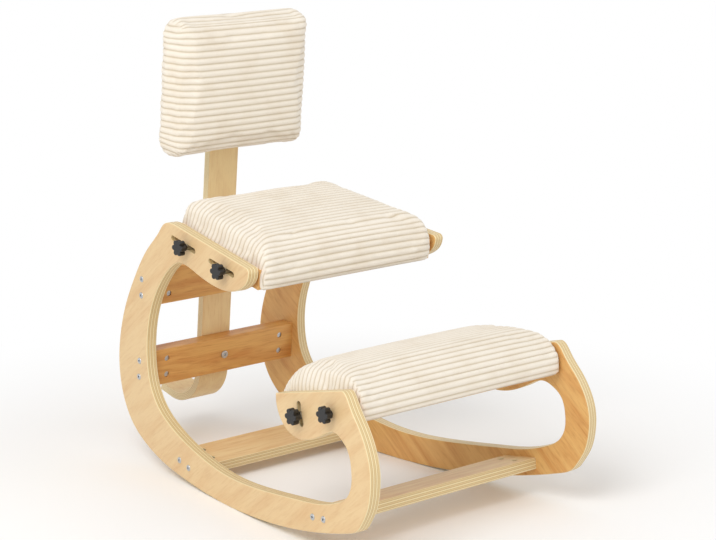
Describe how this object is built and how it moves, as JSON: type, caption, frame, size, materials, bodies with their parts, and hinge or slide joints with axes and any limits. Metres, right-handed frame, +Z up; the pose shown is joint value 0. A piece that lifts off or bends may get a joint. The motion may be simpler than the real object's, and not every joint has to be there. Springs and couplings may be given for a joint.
{
  "type": "rocking kneeling chair",
  "caption": "Rocking kneeling chair with plywood side frames, ribbed cream pads, a backrest on a bent post, a sliding seat and a tilting kneeler set by black star knobs.",
  "frame": {"origin": "the point on the floor midway between the two runners, where both touch it", "axes": "+Z up; +Y from the kneeler to the backrest, so the sitter faces -Y; +X is the chair's width, to the sitter's left"},
  "size_m": [0.5174, 0.8534, 0.7976],
  "materials": {
    "ply_face": "clear satin lacquer over pale face veneer of the bent-laminate frames",
    "solid_wood": "clear satin lacquer over orange-brown solid wood of the cross members",
    "bent_strip": "clear satin lacquer over pale yellow strip of the backrest post",
    "hard_batten": "plain sanded hardwood battens and brackets, unseen under the pads",
    "board_ply": "raw plywood boards inside the pads",
    "corduroy": "cream wide-rib corduroy over foam",
    "knob_plastic": "black moulded knobs",
    "zinc_steel": "zinc-plated bolts, nuts, dowels, studs, inserts and screws"
  },
  "bodies": {
    "frame": {"side_frame_right": "ply_face", "side_frame_left": "ply_face", "upper_rear_rail": "solid_wood", "middle_rear_rail": "solid_wood", "rear_bottom_slat": "solid_wood", "front_bottom_slat": "solid_wood", "frame_bolts_right": "zinc_steel", "frame_bolts_left": "zinc_steel", "cross_dowels": "zinc_steel", "backrest_post": "bent_strip", "post_bolts": "zinc_steel", "post_nuts": "zinc_steel", "backrest_board": "board_ply", "backrest_cushion": "corduroy", "backrest_bolts": "zinc_steel", "backrest_inserts": "zinc_steel"},
    "seat": {"seat_cushion": "corduroy", "seat_board": "board_ply", "seat_batten_right": "hard_batten", "seat_batten_left": "hard_batten", "seat_batten_screws": "zinc_steel", "seat_inserts": "zinc_steel"},
    "kneeler": {"kneeler_cushion": "corduroy", "kneeler_board": "board_ply", "kneeler_bracket_right": "hard_batten", "kneeler_bracket_left": "hard_batten", "kneeler_bracket_screws": "zinc_steel", "kneeler_inserts": "zinc_steel"},
    "seat_front_knob_right_turning": {"seat_front_knob_right": "knob_plastic", "seat_front_stud_right": "zinc_steel"},
    "seat_front_knob_left_turning": {"seat_front_knob_left": "knob_plastic", "seat_front_stud_left": "zinc_steel"},
    "seat_rear_knob_right_turning": {"seat_rear_knob_right": "knob_plastic", "seat_rear_stud_right": "zinc_steel"},
    "seat_rear_knob_left_turning": {"seat_rear_knob_left": "knob_plastic", "seat_rear_stud_left": "zinc_steel"},
    "kneeler_pivot_knob_right_turning": {"kneeler_pivot_knob_right": "knob_plastic", "kneeler_pivot_stud_right": "zinc_steel"},
    "kneeler_pivot_knob_left_turning": {"kneeler_pivot_knob_left": "knob_plastic", "kneeler_pivot_stud_left": "zinc_steel"},
    "kneeler_slot_knob_right_turning": {"kneeler_slot_knob_right": "knob_plastic", "kneeler_slot_stud_right": "zinc_steel"},
    "kneeler_slot_knob_left_turning": {"kneeler_slot_knob_left": "knob_plastic", "kneeler_slot_stud_left": "zinc_steel"}
  },
  "joints": [
    {"name": "seat_slide", "type": "slide", "parent": "frame", "child": "seat", "axis": [0, 0.9898, 0.1426], "range_m": [-0.022, 0.042]},
    {"name": "kneeler_tilt", "type": "hinge", "parent": "frame", "child": "kneeler", "pos_m": [0, -0.3144, 0.2392], "axis": [1, 0, 0], "range_deg": [-8, 10]},
    {"name": "seat_front_knob_right_turn", "type": "hinge", "parent": "seat", "child": "seat_front_knob_right_turning", "pos_m": [0.20742, -0.00418, 0.40767], "axis": [1, 0, 0], "continuous": true},
    {"name": "seat_front_knob_left_turn", "type": "hinge", "parent": "seat", "child": "seat_front_knob_left_turning", "pos_m": [-0.20742, -0.00418, 0.40767], "axis": [-1, 0, 0], "continuous": true},
    {"name": "seat_rear_knob_right_turn", "type": "hinge", "parent": "seat", "child": "seat_rear_knob_right_turning", "pos_m": [0.1951, 0.11855, 0.42535], "axis": [1, 0, 0], "continuous": true},
    {"name": "seat_rear_knob_left_turn", "type": "hinge", "parent": "seat", "child": "seat_rear_knob_left_turning", "pos_m": [-0.1951, 0.11855, 0.42535], "axis": [-1, 0, 0], "continuous": true},
    {"name": "kneeler_pivot_knob_right_turn", "type": "hinge", "parent": "kneeler", "child": "kneeler_pivot_knob_right_turning", "pos_m": [0.23855, -0.3144, 0.2392], "axis": [1, 0, 0], "continuous": true},
    {"name": "kneeler_pivot_knob_left_turn", "type": "hinge", "parent": "kneeler", "child": "kneeler_pivot_knob_left_turning", "pos_m": [-0.23855, -0.3144, 0.2392], "axis": [-1, 0, 0], "continuous": true},
    {"name": "kneeler_slot_knob_right_turn", "type": "hinge", "parent": "kneeler", "child": "kneeler_slot_knob_right_turning", "pos_m": [0.22965, -0.22575, 0.21461], "axis": [1, 0, 0], "continuous": true},
    {"name": "kneeler_slot_knob_left_turn", "type": "hinge", "parent": "kneeler", "child": "kneeler_slot_knob_left_turning", "pos_m": [-0.22965, -0.22575, 0.21461], "axis": [-1, 0, 0], "continuous": true}
  ]
}
